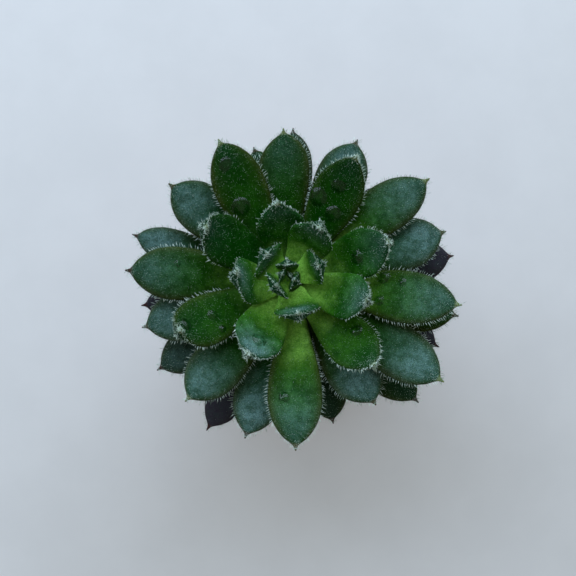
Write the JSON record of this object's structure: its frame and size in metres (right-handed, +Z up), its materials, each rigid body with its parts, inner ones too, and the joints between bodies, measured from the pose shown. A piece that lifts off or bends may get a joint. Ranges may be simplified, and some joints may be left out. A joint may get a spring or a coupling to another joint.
{
  "type": "potted scorpio echeveria",
  "caption": "Hairy echeveria rosette with thick pointed leaves in whorls about a short stem, growing in a small round clay pot of soil.",
  "frame": {"origin": "centre of the pot's underside, on the surface that it stands on", "axes": "+Z up, -Y towards the bottom edge of the picture, +X towards its right edge"},
  "size_m": [0.0891, 0.0882, 0.0851],
  "materials": {
    "pot": "matte",
    "soil": "matte",
    "stem": "matte",
    "heart": "satin",
    "inner_leaf": "satin",
    "outer_leaf": "satin",
    "lowest_leaf": "satin"
  },
  "bodies": {
    "root": {"pot": "pot", "soil": "soil", "stem": "stem", "heart": "heart", "leaf_00": "inner_leaf", "leaf_01": "inner_leaf", "leaf_02": "inner_leaf", "leaf_03": "inner_leaf", "leaf_04": "inner_leaf", "leaf_05": "inner_leaf", "leaf_06": "inner_leaf", "leaf_07": "inner_leaf", "leaf_08": "inner_leaf", "leaf_09": "inner_leaf", "leaf_10": "inner_leaf", "leaf_11": "inner_leaf", "leaf_12": "inner_leaf", "leaf_13": "outer_leaf", "leaf_14": "outer_leaf", "leaf_15": "outer_leaf", "leaf_16": "outer_leaf", "leaf_17": "outer_leaf", "leaf_18": "outer_leaf", "leaf_19": "outer_leaf", "leaf_20": "outer_leaf", "leaf_21": "outer_leaf", "leaf_22": "outer_leaf", "leaf_23": "outer_leaf", "leaf_24": "outer_leaf", "leaf_25": "outer_leaf", "leaf_26": "outer_leaf", "leaf_27": "outer_leaf", "leaf_28": "outer_leaf", "leaf_29": "outer_leaf", "leaf_30": "outer_leaf", "leaf_31": "outer_leaf", "leaf_32": "lowest_leaf", "leaf_33": "lowest_leaf", "leaf_34": "lowest_leaf", "leaf_35": "lowest_leaf", "leaf_36": "lowest_leaf", "leaf_37": "lowest_leaf", "leaf_38": "lowest_leaf", "leaf_39": "lowest_leaf", "leaf_40": "lowest_leaf", "leaf_41": "lowest_leaf"}
  },
  "joints": []
}
